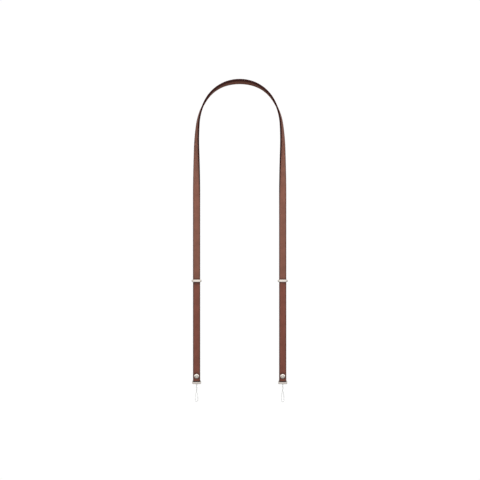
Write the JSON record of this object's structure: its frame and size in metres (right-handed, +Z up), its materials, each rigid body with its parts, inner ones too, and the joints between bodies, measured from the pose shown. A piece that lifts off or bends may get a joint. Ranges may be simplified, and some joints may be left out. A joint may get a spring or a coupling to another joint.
{
  "type": "crossbody phone strap",
  "caption": "Leather crossbody phone strap hanging as a tall inverted U, with metal sliders on the legs and riveted ends that hold metal loops with thin cord loops.",
  "frame": {"origin": "underside of the inner strap at the top of the arch, where the strap hangs on a shoulder or a peg", "axes": "+Z up, -Y towards the front, which shows the outer face of the legs, +X to the right seen from the front"},
  "size_m": [0.163, 0.0122, 0.5474],
  "materials": {
    "leather": "smooth brown leather with dark painted edges",
    "nickel": "polished nickel plate",
    "cord": "white braided cord"
  },
  "bodies": {
    "strap": {"outer_strap_arch": "leather", "outer_strap_left_leg": "leather", "outer_strap_right_leg": "leather", "outer_strap_right_lower_leg": "leather", "outer_strap_right_end": "leather", "inner_strap_arch": "leather", "inner_strap_left_leg": "leather", "inner_strap_right_leg": "leather", "inner_strap_left_lower_leg": "leather", "inner_strap_left_end": "leather", "left_slider": "nickel", "right_slider": "nickel", "left_rivet": "nickel", "right_rivet": "nickel"},
    "left_end": {"left_end_loop": "nickel", "left_cord_loop": "cord"},
    "right_end": {"right_end_loop": "nickel", "right_cord_loop": "cord"}
  },
  "joints": [
    {"name": "left_end_swing", "type": "hinge", "parent": "strap", "child": "left_end", "pos_m": [-0.073, 0.00293, -0.50598], "axis": [1, 0, 0], "range_deg": [-80, 80]},
    {"name": "right_end_swing", "type": "hinge", "parent": "strap", "child": "right_end", "pos_m": [0.073, 0.00143, -0.50598], "axis": [1, 0, 0], "range_deg": [-80, 80]}
  ]
}
